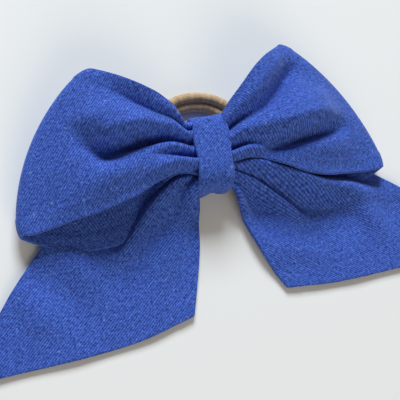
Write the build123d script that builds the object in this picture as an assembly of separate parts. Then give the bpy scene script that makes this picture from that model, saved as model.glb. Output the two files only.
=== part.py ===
"""Sailor-style fabric hair bow with a doubled hair elastic, lying face up on its back.

Frame: +X to the bow's right, +Y towards its top, +Z out of its face.  The origin is on the
underside of the centre wrap, in its middle.  All lengths are in millimetres.
"""

from build123d import *
import os
from math import asin, atan2, cos, degrees, hypot, radians, sin

# ---- driving dimensions -------------------------------------------------------------------

PLY = 0.5                     # one layer of the linen canvas
GAP = 0.3                     # air between two bodies that move apart
CLEARANCE = 0.7               # air under the elastic as it turns inside the wrap
PASS_GAP = 0.7                # air between the two passages of the loop strip
THREAD = 0.4                  # sewing thread

WRAP_WIDTH = 14.0             # along X
WRAP_LENGTH = 26.0            # along Y
WRAP_TOP_RADIUS = 4.5
WRAP_BASE_RADIUS = 3.5

STRAND = 4.2                  # covered elastic cord
CORE = 3.0                    # rubber core inside its knitted cover
TURN_OFFSET_Y = 3.2           # from the outer turn to the inner turn, in the ring's plane
TURN_OFFSET_Z = 2.9           # from the upper turn down to the lower turn
RING_RADIUS = 14.5            # outer turn's centre line
RING_STRAIGHT = 5.5           # half of the straight run inside the wrap
RING_DEPTH = 12.0             # from the straight run to the centre of the ring's round part

KNOT_HALF = 8.5                       # where the loops leave the gathered middle
LOOP_FOLD_LOW = (70.5, -13.0)         # lower end of the loop's outer fold
LOOP_FOLD_HIGH = (38.0, 37.4)         # upper end of the loop's outer fold
SECTION_LOW, SECTION_HIGH = -26.0, 42.0

TAIL_DIRECTION = -43.5        # degrees from +X, down the middle of the right tail
TAIL_START = 12.0             # distance from the origin to the tail's flex line
TAIL_TOUCHDOWN = 25.0         # distance at which the tail reaches the table
TAIL_BEND_RADIUS = 9.0
TAIL_SIZE = 130.0             # longer and wider than the tail's outline
STITCH_LENGTH, STITCH_PITCH = 1.8, 2.5

# ---- levels of the layers inside the knot --------------------------------------------------

STRAND_REACH = hypot(TURN_OFFSET_Y, TURN_OFFSET_Z) / 2 + STRAND / 2
HINGE_Z = 2 * PLY + CLEARANCE + STRAND_REACH
THREAD_BASE = HINGE_Z + STRAND_REACH + 0.1
TAIL_Z = THREAD_BASE + THREAD + 0.1
LOOP_BACK_Z = TAIL_Z + 2 * PLY + GAP
LOOP_FRONT_Z = LOOP_BACK_Z + 2 * PLY + PASS_GAP
THREAD_TOP = LOOP_FRONT_Z + 2 * PLY + 0.1 + THREAD
WRAP_HEIGHT = THREAD_TOP + 0.1 + 2 * PLY


def save(part, node):
    """Write one sub-part to its own STEP file."""
    part.label = node
    export_step(part, f"parts/{node}.step")


def prism(outline, low, high):
    """Upright prism over a closed outline of (x, y) points."""
    return extrude(make_face(Polyline(*outline, close=True)), high - low).moved(Location((0, 0, low)))


def mirrored(part):
    """The same piece on the bow's left side."""
    return mirror(part, about=Plane.YZ)


def stitch_row(start, end, height):
    """Short threads end to end with small gaps, along a straight seam at one height."""
    dx, dy = end[0] - start[0], end[1] - start[1]
    count = int(hypot(dx, dy) // STITCH_PITCH)
    stitches = []
    for index in range(count):
        share = (index + 0.5) / count
        middle = (start[0] + dx * share, start[1] + dy * share, height)
        stitches.append(Plane(origin=middle, z_dir=(dx, dy, 0)) * Cylinder(THREAD / 2, STITCH_LENGTH))
    return Compound(children=stitches)


# ---- centre wrap ---------------------------------------------------------------------------

def wrap_section(inset):
    """Cross-section of the wrap in the YZ plane, smaller by an inset on every side."""
    width = WRAP_LENGTH - 2 * inset
    height = WRAP_HEIGHT - 2 * inset
    face = Plane.YZ * Pos(0, WRAP_HEIGHT / 2) * Rectangle(width, height)
    top = face.vertices().sort_by(Axis.Z)[2:]
    base = face.vertices().sort_by(Axis.Z)[:2]
    face = fillet(top, WRAP_TOP_RADIUS - inset)
    base = [v for v in face.vertices() if v.Z < inset + 0.01]
    return fillet(base, WRAP_BASE_RADIUS - inset)


def wrap_ply(outer_inset):
    """One ply of the wrap: a closed band round the knot."""
    outer = extrude(wrap_section(outer_inset), WRAP_WIDTH / 2, both=True)
    inner = extrude(wrap_section(outer_inset + PLY), WRAP_WIDTH / 2 + 1, both=True)
    return outer - inner


# ---- strips inside the knot ----------------------------------------------------------------

TAIL_ROOT = [(9.2, -7.7), (21.6, 5.3), (8.2, 8.8)]
LOOP_ROOT_LOW, LOOP_ROOT_HIGH = -6.6, 8.8
LOOP_ROOT_TOP, LOOP_CEILING = 13.4, 26.0
BINDING_HALF, BINDING_CORNER = 10.1, 1.5


def tail_middle():
    """Gathered middle of the tail strip, out to both flex lines."""
    outline = TAIL_ROOT + [(-x, y) for x, y in reversed(TAIL_ROOT)]
    return prism(outline, TAIL_Z, TAIL_Z + 2 * PLY)


def loop_pass(level):
    """One passage of the loop strip through the knot."""
    half, low, high = KNOT_HALF - GAP, LOOP_ROOT_LOW, LOOP_ROOT_HIGH
    return prism([(-half, low), (half, low), (half, high), (-half, high)], level, level + 2 * PLY)


def gathering_thread():
    """Three turns of thread that bind the gathered strips under the wrap."""
    middle_z = (THREAD_BASE + THREAD_TOP) / 2
    height = THREAD_TOP - THREAD_BASE - THREAD
    turns = []
    for x in (-2.5, 0.0, 2.5):
        plane = Plane(origin=(x, 0, middle_z), x_dir=(0, 1, 0), z_dir=(1, 0, 0))
        route = plane * RectangleRounded(2 * BINDING_HALF, height, BINDING_CORNER)
        path = route.wire()
        turns.append(sweep(Plane(path @ 0, z_dir=path % 0) * Circle(THREAD / 2), path=path))
    return Compound(children=turns)


# ---- loops ---------------------------------------------------------------------------------

# Side view of a loop as (share of the way from knot to fold, height), for the lower and the
# upper end of the loop: along the front, round the fold and back under it.
FRONT_LOW = [(0, 0), (0.12, 1.2), (0.3, 2.6), (0.5, 2.2), (0.7, -0.6), (0.88, -4.8)]
FRONT_HIGH = [(0, 0), (0.12, 2.0), (0.3, 5.2), (0.5, 6.6), (0.7, 6.4), (0.88, 4.8)]
FOLD_LOW, FOLD_HIGH = 5.4, 16.0
BACK_ROOT = [(0.12, 12.4), (0, LOOP_BACK_Z)]
BACK_LOW = [(0.93, 2.6), (0.75, 1.9), (0.52, 2.8), (0.37, 8.4), (0.25, 12.1)] + BACK_ROOT
BACK_HIGH = [(0.93, 12.8), (0.75, 11.9), (0.52, 11.9), (0.37, 12.1), (0.25, 12.3)] + BACK_ROOT
SECTION_POINTS = 24
MOUTH_OVERRUN = 2.0
LOOP_TOP_EDGE = [(14.0, 18.5), (20.0, 25.0), (27.0, 31.0), (38.0, 37.4), (60.0, 37.4), (90.0, -13.0)]
LOOP_BACK_EDGE = [(70.5, -13.6), (52.0, -23.6), (33.0, -22.4), (20.0, -10.2)]
LOOP_FRONT_EDGE = [(70.5, -12.4), (52.0, -7.5), (33.0, -7.5), (20.0, -6.2)]


def fold_x(y):
    """Where the loop's outer fold lies at one height up the bow."""
    (x0, y0), (x1, y1) = LOOP_FOLD_LOW, LOOP_FOLD_HIGH
    return x0 + (x1 - x0) * (y - y0) / (y1 - y0)


def loop_section(y, front, fold, back, inset):
    """Closed side view of a loop in the plane at y, drawn inset from its outer surface."""
    reach = fold_x(y) - KNOT_HALF
    base = LOOP_FRONT_Z + 2 * PLY
    points = [(KNOT_HALF + share * reach, y, base + rise) for share, rise in front]
    points.append((KNOT_HALF + reach, y, fold))
    points += [(KNOT_HALF + share * reach, y, height) for share, height in back]
    outside = Spline(*points, tangents=[(1, 0, 0.2), (-1, 0, 0)])
    moved = []
    for index in range(SECTION_POINTS + 1):
        point, along = outside @ (index / SECTION_POINTS), outside % (index / SECTION_POINTS)
        moved.append((point.X + inset * along.Z, y, point.Z - inset * along.X))
    curve = Spline(*moved)
    start, end = curve @ 0, curve @ 1
    inward = Vector(-MOUTH_OVERRUN, 0, 0)
    closing = Polyline(end, end + inward, start + inward, start)
    return Wire([*curve.edges(), *closing.edges()])


def loop_body(inset):
    """Filled loop, inset from its outer surface and running past both mouths."""
    low = loop_section(SECTION_LOW, FRONT_LOW, FOLD_LOW, BACK_LOW, inset)
    high = loop_section(SECTION_HIGH, FRONT_HIGH, FOLD_HIGH, BACK_HIGH, inset)
    return Solid.make_loft([low, high], ruled=True)


def loop_outline():
    """Space between the loop's top edge and its bottom edges, which slant from back to front."""
    top = [(KNOT_HALF, LOOP_ROOT_TOP)] + LOOP_TOP_EDGE
    root = [(KNOT_HALF, LOOP_ROOT_LOW)]
    levels = ((-1, LOOP_BACK_EDGE), (LOOP_CEILING, LOOP_FRONT_EDGE))
    low, high = (
        Wire(Polyline(*[(x, y, z) for x, y in top + edge + root], close=True).edges())
        for z, edge in levels
    )
    return Solid.make_loft([low, high], ruled=True)


def loop_plies():
    """Outer and inner ply of the right loop."""
    space = loop_outline()
    bodies = [loop_body(inset) for inset in (0, PLY, 2 * PLY)]
    outer = Part() + (bodies[0] - bodies[1]) & space
    inner = Part() + (bodies[1] - bodies[2]) & space
    return outer, inner


# ---- tails ---------------------------------------------------------------------------------

INNER_EDGE = [(9.6, -7.8), (10.0, -13.0), (9.4, -20.0), (10.2, -28.5), (13.8, -40.2)]
END_EDGE = [(18.2, -50.4), (31.0, -53.2), (47.0, -54.2), (66.0, -54.2), (97.5, -54.0)]
OUTER_EDGE = [(78.0, -31.0), (65.0, -15.8), (50.0, -3.5), (32.0, 3.5), (12.0, 9.0)]
END_STITCHES = ((24.0, -50.0), (90.0, -50.8))


def tail_ply(level):
    """One ply of the right tail: down from the knot to the table, then flat."""
    start = TAIL_START + GAP
    lower = [(start, TAIL_Z + level), (TAIL_TOUCHDOWN, level), (TAIL_SIZE, level)]
    upper = [(s, z + PLY) for s, z in lower]
    down = Vector(cos(radians(TAIL_DIRECTION)), sin(radians(TAIL_DIRECTION)), 0)
    side = Plane(origin=(0, 0, 0), x_dir=down, z_dir=down.cross(Vector(0, 0, 1)))
    low_curve = FilletPolyline(*lower, radius=TAIL_BEND_RADIUS)
    high_curve = FilletPolyline(*upper, radius=TAIL_BEND_RADIUS)
    ends = [Line(low_curve @ 0, high_curve @ 0), Line(low_curve @ 1, high_curve @ 1)]
    face = make_face([*low_curve.edges(), *high_curve.edges(), *[e.edge() for e in ends]])
    band = extrude(side * face, TAIL_SIZE, both=True)
    return band & prism(INNER_EDGE + END_EDGE + OUTER_EDGE, -1, TAIL_Z + 5)


# ---- hair elastic --------------------------------------------------------------------------

def ring_route(inset):
    """Closed route of one turn, in its own plane, with the straight run on the hinge line."""
    radius = RING_RADIUS - inset
    base = -TURN_OFFSET_Y / 2 + inset
    centre_y = -TURN_OFFSET_Y / 2 + RING_DEPTH
    # The corner arc touches the straight run and runs into the round part from inside.
    rise = centre_y - base
    corner = (radius**2 - RING_STRAIGHT**2 - rise**2) / (2 * (radius - rise))
    slope = atan2(base + corner - centre_y, RING_STRAIGHT)
    touch = (radius * cos(slope), centre_y + radius * sin(slope))
    straight = Line((-RING_STRAIGHT, base), (RING_STRAIGHT, base))
    right = TangentArc((RING_STRAIGHT, base), touch, tangent=(1, 0))
    top = ThreePointArc(touch, (0, centre_y + radius), (-touch[0], touch[1]))
    left = TangentArc((-RING_STRAIGHT, base), (-touch[0], touch[1]), tangent=(-1, 0))
    return Wire([straight.edge(), right.edge(), top.edge(), left.edge()])


def elastic_turns(radius):
    """Both turns of the cord as round rods, drooping until the ring lies on the table."""
    reach = RING_DEPTH - TURN_OFFSET_Y / 2 + RING_RADIUS - TURN_OFFSET_Y
    drop = HINGE_Z - TURN_OFFSET_Z / 2 - STRAND / 2
    droop = degrees(asin(drop / reach)) - 0.2
    turns = []
    for inset, level in ((0, TURN_OFFSET_Z / 2), (TURN_OFFSET_Y, -TURN_OFFSET_Z / 2)):
        route = ring_route(inset)
        rod = sweep(Plane(route @ 0, z_dir=route % 0) * Circle(radius), path=route)
        turns.append(Location((0, 0, HINGE_Z)) * Rotation(-droop, 0, 0) * Pos(0, 0, level) * rod)
    return turns


def main():
    os.makedirs("parts", exist_ok=True)

    save(wrap_ply(0), "centre_wrap")
    save(wrap_ply(PLY), "centre_wrap_lining")
    seam = WRAP_WIDTH / 2 - 1
    save(stitch_row((-seam, 0), (seam, 0), PLY), "wrap_closing_stitches")

    save(loop_pass(LOOP_FRONT_Z), "loop_strip_front_middle")
    save(loop_pass(LOOP_BACK_Z), "loop_strip_back_middle")
    join_low, join_high = (0, LOOP_ROOT_LOW + 1), (0, LOOP_ROOT_HIGH - 1)
    save(stitch_row(join_low, join_high, LOOP_BACK_Z + PLY), "loop_joining_stitches")
    save(tail_middle(), "tail_strip_middle")
    save(gathering_thread(), "gathering_thread")

    outer, inner = loop_plies()
    for side, place in (("right", lambda part: part), ("left", mirrored)):
        save(place(outer), f"{side}_loop_outer_ply")
        save(place(inner), f"{side}_loop_inner_ply")
        save(place(tail_ply(0)), f"{side}_tail_backing_ply")
        save(place(tail_ply(PLY)), f"{side}_tail_face_ply")
        save(place(stitch_row(*END_STITCHES, PLY)), f"{side}_tail_end_stitches")

    rods = elastic_turns(STRAND / 2)
    hollows = elastic_turns(CORE / 2)
    save(Compound(children=[rod - hollow for rod, hollow in zip(rods, hollows)]), "elastic_cover")
    save(Compound(children=elastic_turns(CORE / 2)), "elastic_core")


main()
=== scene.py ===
"""Sailor-style hair bow in royal blue linen canvas, with a doubled tan hair elastic behind its knot.

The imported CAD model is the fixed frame.  Every visible piece is a surface worked out with numpy in
that frame: two gathered loops, two tails, the centre wrap and the covered elastic.  Shapes are
written in millimetres in the bow's own frame (+X right, +Y up the bow, +Z out of its face) and are
scaled to metres when a mesh is made.
"""

import logging
import math
from dataclasses import dataclass
from enum import Enum

import bmesh
import bpy
import numpy as np
from mathutils import Matrix, Vector


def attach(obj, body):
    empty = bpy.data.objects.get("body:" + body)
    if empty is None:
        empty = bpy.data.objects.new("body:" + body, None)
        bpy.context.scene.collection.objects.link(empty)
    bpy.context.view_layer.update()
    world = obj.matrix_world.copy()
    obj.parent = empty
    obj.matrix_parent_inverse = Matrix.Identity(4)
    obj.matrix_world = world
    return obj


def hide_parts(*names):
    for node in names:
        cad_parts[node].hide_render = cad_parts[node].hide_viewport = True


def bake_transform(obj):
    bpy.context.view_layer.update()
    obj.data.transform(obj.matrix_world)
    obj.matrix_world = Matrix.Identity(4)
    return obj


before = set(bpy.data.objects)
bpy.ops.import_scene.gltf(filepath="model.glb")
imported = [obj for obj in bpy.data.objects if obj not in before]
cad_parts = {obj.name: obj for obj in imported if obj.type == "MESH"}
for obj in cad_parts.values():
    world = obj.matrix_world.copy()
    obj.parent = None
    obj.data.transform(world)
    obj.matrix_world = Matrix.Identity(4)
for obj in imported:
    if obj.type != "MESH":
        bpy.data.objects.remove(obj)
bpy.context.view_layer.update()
MM = 0.001
LOG = logging.getLogger("hair_bow")

Array = np.ndarray
Point = tuple[float, float]
Colour = tuple[float, float, float, float]
Socket = bpy.types.NodeSocket

CLOTH_UNIT = 100.0  # millimetres to one unit of the cloth coordinates
KNOT_ROWS = 8  # rows of a strip that run on inside the knot
FRONT_ROWS, TURN_ROWS, BACK_ROWS = 130, 11, 80  # rows of a loop before, round and after its fold
FIRST_TURN = KNOT_ROWS + FRONT_ROWS


class Side(Enum):
    """The bow's two halves; the value is the sign of X on that side."""

    LEFT = -1
    RIGHT = 1

    @property
    def word(self) -> str:
        """Name of the side as the frame's bodies spell it."""
        return self.name.lower()


class Edge(Enum):
    """How the free end of a strip is finished."""

    FOLDED = "folded"
    HIDDEN = "hidden"


# ---- curves and surfaces ---------------------------------------------------------------------


def smooth(t: Array) -> Array:
    """Ease from 0 to 1: 3 t squared minus 2 t cubed, held outside that range."""
    t = np.clip(t, 0.0, 1.0)
    return t * t * (3.0 - 2.0 * t)


def through(points: list[Point] | tuple[Point, ...], x: Array) -> Array:
    """Smooth curve through a few (x, y) points.

    Each stretch is a cubic whose end slopes are the mean of the two chords that meet there, so the
    curve is a Catmull-Rom spline with uneven spacing.

    Args:
        points: The knots, in order of x.
        x: Where the curve is wanted.

    Returns:
        The curve's height at each x, held flat beyond the first and last knots.
    """
    px, py = np.array(points, float).T
    slope = np.diff(py) / np.diff(px)
    tangent = np.concatenate([slope[:1], (slope[:-1] + slope[1:]) / 2, slope[-1:]])
    x = np.clip(x, px[0], px[-1])
    index = np.clip(np.searchsorted(px, x, side="right") - 1, 0, len(px) - 2)
    width = px[index + 1] - px[index]
    t = (x - px[index]) / width
    return (
        (2 * t**3 - 3 * t**2 + 1) * py[index]
        + (t**3 - 2 * t**2 + t) * width * tangent[index]
        + (3 * t**2 - 2 * t**3) * py[index + 1]
        + (t**3 - t**2) * width * tangent[index + 1]
    )


def bezier(a: Point, b: Point, c: Point, d: Point, t: Array) -> Array:
    """Cubic Bezier curve in the plane.

    Args:
        a: Start.
        b: First handle.
        c: Second handle.
        d: End.
        t: Share of the way along the curve.

    Returns:
        Points (x, y) along the last axis.
    """
    t = np.asarray(t)[..., None]
    return (
        (1 - t) ** 3 * np.array(a)
        + 3 * (1 - t) ** 2 * t * np.array(b)
        + 3 * (1 - t) * t**2 * np.array(c)
        + t**3 * np.array(d)
    )


def ripple(x: Array, y: Array, size: float, seed: int) -> Array:
    """Gentle uneven hills over the plane, about one unit high.

    The sum of six sine waves whose directions, lengths and phases are drawn once from the seed.

    Args:
        x: First coordinate, in millimetres.
        y: Second coordinate, in millimetres.
        size: Typical distance from one hill to the next, in millimetres.
        seed: Seed of the draw.

    Returns:
        Height at each point, roughly from -1 to 1.
    """
    draw = np.random.default_rng(seed)
    total = np.zeros(np.broadcast(x, y).shape)
    for _ in range(6):
        angle, phase = draw.uniform(0, 2 * math.pi, 2)
        length = size * draw.uniform(0.7, 1.6)
        total += np.sin(2 * math.pi * (x * math.cos(angle) + y * math.sin(angle)) / length + phase)
    return total / 4.0


def blurred(grid: Array, passes: int) -> Array:
    """Round off kinks: each row becomes half itself and a quarter of either neighbour.

    Args:
        grid: Surface grid, whose first and last rows are held.
        passes: How many times the rows are averaged.

    Returns:
        The softened grid.
    """
    grid = grid.copy()
    for _ in range(passes):
        grid[1:-1] = grid[1:-1] / 2 + (grid[:-2] + grid[2:]) / 4
    return grid


@dataclass(frozen=True)
class Swell:
    """A long soft hill, or a valley where its height is negative, lying in the cloth."""

    x: float
    y: float
    heading: float
    length: float
    width: float
    height: float

    def lift(self, x: Array, y: Array) -> Array:
        """Bell-shaped height over the plan: height times exp(-(along/length)^2 - (across/width)^2).

        Args:
            x: Distance out from the knot's middle, in millimetres.
            y: Distance up the bow, in millimetres.

        Returns:
            Height to add at each point, in millimetres.
        """
        c, s = math.cos(math.radians(self.heading)), math.sin(math.radians(self.heading))
        along = (x - self.x) * c + (y - self.y) * s
        across = (y - self.y) * c - (x - self.x) * s
        return self.height * np.exp(-((along / self.length) ** 2) - (across / self.width) ** 2)


@dataclass(frozen=True)
class Crest:
    """A ridge that wanders over the plan, with its own width on either flank."""

    path: tuple[Point, ...]
    heights: tuple[Point, ...]
    low_width: float
    high_width: float

    def over(self, x: Array, y: Array, z: Array) -> Array:
        """Surface raised to the ridge, whose section is height times exp(-(across/width)^2).

        The two are joined softly: z + 0.6 log(1 + exp((ridge - z) / 0.6)).

        Args:
            x: Distance out from the knot's middle, in millimetres.
            y: Distance up the bow, in millimetres.
            z: Height of the surface, in millimetres.

        Returns:
            Height with the ridge, in millimetres.
        """
        across = y - through(self.path, x)
        width = np.where(across > 0, self.high_width, self.low_width)
        top = through(self.heights, x) * np.exp(-((across / width) ** 2))
        return z + 0.6 * np.log1p(np.exp((top - z) / 0.6))


@dataclass(frozen=True)
class Gather:
    """One ridge or crease of the gathers: where it leaves the knot, how high and how far it runs."""

    v: float
    at_knot: float
    height: float
    reach: float


def gather_spread(gathers: tuple[Gather, ...], v: Array) -> Array:
    """Place along the knot's side for each thread of the strip, from the gathers' own places."""
    return through([(g.v, g.at_knot) for g in gathers], v)


def gather_lift(gathers: tuple[Gather, ...], distance: Array, v: Array) -> Array:
    """Height of the gathers over a strip.

    Between two neighbouring gathers the height goes from one to the other.  Close to the knot it
    leaves a crease steeply and arrives level on a ridge, as a rolled fold does; further out the
    change eases at both ends.  Each gather fades as exp(-(distance/reach)^1.6).

    Args:
        gathers: Ridges and creases in order of v.
        distance: Distance from the knot in millimetres, on the grid.
        v: Share of the strip's width, on the grid.

    Returns:
        Height in millimetres on the grid.
    """
    total = np.zeros(np.broadcast(distance, v).shape)
    soft = smooth(distance / 22.0)
    for low, high in zip(gathers[:-1], gathers[1:]):
        t = (v - low.v) / (high.v - low.v)
        inside = (t >= 0) & ((t < 1) | ((high is gathers[-1]) & (t <= 1)))
        t = np.clip(t, 0, 1)
        rolled = np.sin(t * math.pi / 2) if high.height >= low.height else 1 - np.cos(t * math.pi / 2)
        share = (1 - soft) * rolled + soft * smooth(t)
        fade_low = low.height * np.exp(-((distance / low.reach) ** 1.6))
        fade_high = high.height * np.exp(-((distance / high.reach) ** 1.6))
        total += np.where(inside, fade_low * (1 - share) + fade_high * share, 0.0)
    return total


def normals_of(grid: Array) -> Array:
    """Unit normals of a surface grid, from the cross product of its two directions.

    Args:
        grid: Points, rows by columns by 3.

    Returns:
        Normals in the same layout.
    """
    along, across = np.gradient(grid, axis=0), np.gradient(grid, axis=1)
    normal = np.cross(along, across)
    return normal / np.maximum(np.linalg.norm(normal, axis=-1, keepdims=True), 1e-9)


def lengths_along(grid: Array, axis: int) -> Array:
    """Distance travelled along one direction of a grid, starting at 0.

    Args:
        grid: Points, rows by columns by 3.
        axis: 0 to travel down the columns, 1 to travel across the rows.

    Returns:
        Distance at each point of the grid, in millimetres.
    """
    steps = np.linalg.norm(np.diff(grid, axis=axis), axis=-1)
    start = np.zeros_like(np.take(steps, [0], axis=axis))
    return np.cumsum(np.concatenate([start, steps], axis=axis), axis=axis)


def edge_directions(grid: Array) -> tuple[Array, Array]:
    """Unit vectors that point out of a grid across its first and its last column.

    Args:
        grid: Points, rows by columns by 3.

    Returns:
        One vector for each row at the first column, and the same at the last.
    """
    first, last = grid[:, 0] - grid[:, 1], grid[:, -1] - grid[:, -2]
    first /= np.linalg.norm(first, axis=-1, keepdims=True)
    last /= np.linalg.norm(last, axis=-1, keepdims=True)
    return first, last


def folded_edge(
    edge: Array, out: Array, up: Array, half: Array, angles: Array, reach: Array | float
) -> Array:
    """Half-round fold along an edge: edge + half (cos(angle) reach out + sin(angle) up).

    Args:
        edge: Points along the edge.
        out: Unit vector out of the cloth at each point.
        up: Unit normal of the cloth at each point.
        half: Half of the cloth's thickness at each point.
        angles: Angles of the points round the fold, in radians.
        reach: How far the fold stands out, as a share of half.

    Returns:
        Points round the fold, edge points by angles by 3.
    """
    c, s = np.cos(angles)[None, :, None], np.sin(angles)[None, :, None]
    return edge[:, None] + half[:, None] * (c * reach * out[:, None] + s * up[:, None])


# ---- meshes ----------------------------------------------------------------------------------


def make_mesh(name: str, points: Array, faces: Array, uv: Array) -> bpy.types.Object:
    """Mesh object at the origin from points in millimetres.

    Args:
        name: Name of the piece.
        points: Vertices, n by 3, in millimetres.
        faces: Quads, m by 4, as vertex indices.
        uv: Cloth coordinates of each vertex, n by 2, in millimetres.

    Returns:
        The new object, shaded smooth, with its UV map.
    """
    mesh = bpy.data.meshes.new(name)
    mesh.from_pydata((points * MM).tolist(), [], faces.tolist())
    layer = mesh.uv_layers.new(name="cloth")
    corner = np.zeros(len(mesh.loops), np.int32)
    mesh.loops.foreach_get("vertex_index", corner)
    layer.data.foreach_set("uv", (uv[corner] / CLOTH_UNIT).astype(np.float32).ravel())
    mesh.polygons.foreach_set("use_smooth", np.ones(len(mesh.polygons), bool))
    mesh.validate()
    mesh.update()
    piece = bpy.data.objects.new(name, mesh)
    bpy.context.scene.collection.objects.link(piece)
    return piece


def quads(rows: int, columns: int, wrap_rows: bool = False, wrap_columns: bool = False) -> Array:
    """Quads of a rows by columns grid of vertices, closed on itself where asked.

    Args:
        rows: Number of rows.
        columns: Number of columns.
        wrap_rows: Whether the last row joins the first.
        wrap_columns: Whether the last column joins the first.

    Returns:
        Vertex indices, one quad to a line.
    """
    r = np.arange(rows if wrap_rows else rows - 1)
    c = np.arange(columns if wrap_columns else columns - 1)
    r, c = np.meshgrid(r, c, indexing="ij")
    r2, c2 = (r + 1) % rows, (c + 1) % columns
    return np.stack(
        [r * columns + c, r2 * columns + c, r2 * columns + c2, r * columns + c2], axis=-1
    ).reshape(-1, 4)


@dataclass
class SewnStrip:
    """A strip of two plies sewn right sides together and turned, so that its edges are folded.

    The middle surface is a grid: rows run along the strip, columns across it.  A closed wall of
    cloth is built round it, thicker near the edges where the seam allowance lies inside.  The wall
    field names the rows in which the strip turns round a loop's fold.
    """

    name: str
    middle: Array
    field_thickness: float = 1.0
    edge_thickness: float = 1.5
    allowance: float = 5.5
    end: Edge = Edge.HIDDEN
    uv_turn: float = 0.0
    wall: tuple[int, int] = (0, 0)

    def thickness(self, across: Array) -> Array:
        """Cloth thickness over the grid: more within the seam allowance of an edge.

        Args:
            across: Distance across the strip from its first edge, on the grid.

        Returns:
            Thickness in millimetres on the grid.
        """
        width = across[:, -1:]
        inside = np.minimum(across, width - across)
        return self.field_thickness + (self.edge_thickness - self.field_thickness) * (
            1 - smooth((inside - self.allowance + 0.8) / 1.6)
        )

    def build(self) -> bpy.types.Object:
        """Closed mesh of the strip, with one ring of vertices round the cloth for each row.

        Returns:
            The piece, not yet dressed.
        """
        grid = self.middle
        normal = normals_of(grid)
        half = self.thickness(lengths_along(grid, 1))[..., None] / 2
        if self.end is Edge.FOLDED:
            grid, normal, half = self.rounded_end(grid, normal, half)
        first, last = edge_directions(grid)
        turn = np.radians([64, 34, 10, -10, -34, -64])
        seam_groove = np.array([1.0, 1.0, 0.62, 0.62, 1.0, 1.0])[None, :, None]
        reach = 0.75 * seam_groove
        ring = np.concatenate(
            [
                grid + half * normal,
                folded_edge(grid[:, -1], last, normal[:, -1], half[:, -1], turn, reach),
                (grid - half * normal)[:, ::-1],
                folded_edge(grid[:, 0], first, normal[:, 0], half[:, 0], -turn, reach),
            ],
            axis=1,
        )
        long, wide = self.laid_flat(grid)
        beside = np.linspace(0.2, 1.3, len(turn))[None, :]
        first_wide, last_wide = wide[:, :1] - beside, wide[:, -1:] + beside
        wide = np.concatenate([wide, last_wide, wide[:, ::-1] + 0.4, first_wide], axis=1)
        first_long, last_long = (np.repeat(edge, len(turn), 1) for edge in (long[:, :1], long[:, -1:]))
        long = np.concatenate([long, last_long, long[:, ::-1], first_long], axis=1)
        rows, columns = ring.shape[:2]
        count = grid.shape[1]
        above = np.arange(count - 1)
        below = count + len(turn) + (count - 1 - above)
        cap = np.stack([above, above + 1, below - 1, below], axis=-1)
        last_row = (rows - 1) * columns
        wall = quads(rows, columns, wrap_columns=True)[:, ::-1]
        cloth = self.turned(np.stack([long, wide], axis=-1).reshape(-1, 2))
        faces = np.concatenate([wall, cap, (cap + last_row)[:, ::-1]])
        piece = make_mesh(self.name, ring.reshape(-1, 3), faces, cloth)
        self.close_ends(piece.data)
        return piece

    def laid_flat(self, grid: Array) -> tuple[Array, Array]:
        """Cloth coordinates of the grid: distance out from the knot, and place across in plan.

        Threads run straight in plan over the lobes; in the rows of the wall, where the strip turns
        round its fold, the height counts too.

        Args:
            grid: Middle surface of the strip.

        Returns:
            The two cloth coordinates on the grid, in millimetres.
        """
        step = np.diff(grid, axis=0)
        rows = np.arange(len(step))[:, None]
        in_wall = (rows >= self.wall[0]) & (rows < self.wall[1])
        out = np.abs(grid[:1, :, 0])
        long = np.cumsum(np.concatenate([out, np.hypot(step[..., 0], step[..., 2] * in_wall)]), axis=0)
        return long, grid[..., 1].copy()

    def turned(self, uv: Array) -> Array:
        """Cloth coordinates turned to the angle at which the strip was cut."""
        a = math.radians(self.uv_turn)
        return uv @ np.array([[math.cos(a), math.sin(a)], [-math.sin(a), math.cos(a)]])

    def close_ends(self, mesh: bpy.types.Mesh) -> None:
        """Fill the small half-round openings that the folded edges leave at both ends of the strip.

        Args:
            mesh: Mesh of the strip, which is changed in place.
        """
        edit = bmesh.new()
        edit.from_mesh(mesh)
        open_edges = [e for e in edit.edges if len(e.link_faces) == 1]
        bmesh.ops.holes_fill(edit, edges=open_edges, sides=0)
        bmesh.ops.recalc_face_normals(edit, faces=edit.faces[:])
        edit.to_mesh(mesh)
        edit.free()

    def rounded_end(self, grid: Array, normal: Array, half: Array) -> tuple[Array, Array, Array]:
        """The same arrays with four more rows that round off the last end of the strip.

        Each new row goes out by 0.8 half sin(angle) and thins to half cos(angle).

        Args:
            grid: Middle surface of the strip.
            normal: Its normals.
            half: Half of its thickness.

        Returns:
            The three arrays, each four rows longer.
        """
        out = grid[-1] - grid[-2]
        out /= np.linalg.norm(out, axis=-1, keepdims=True)
        angles = np.radians([30, 55, 75, 86])
        reach = half[-1] * 0.8
        rows = [grid[-1] + reach * math.sin(a) * out for a in angles]
        thin = [half[-1] * math.cos(a) for a in angles]
        return (
            np.concatenate([grid, np.stack(rows)]),
            np.concatenate([normal, np.repeat(normal[-1:], len(angles), 0)]),
            np.concatenate([half, np.stack(thin)]),
        )


# ---- finishes --------------------------------------------------------------------------------


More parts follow.
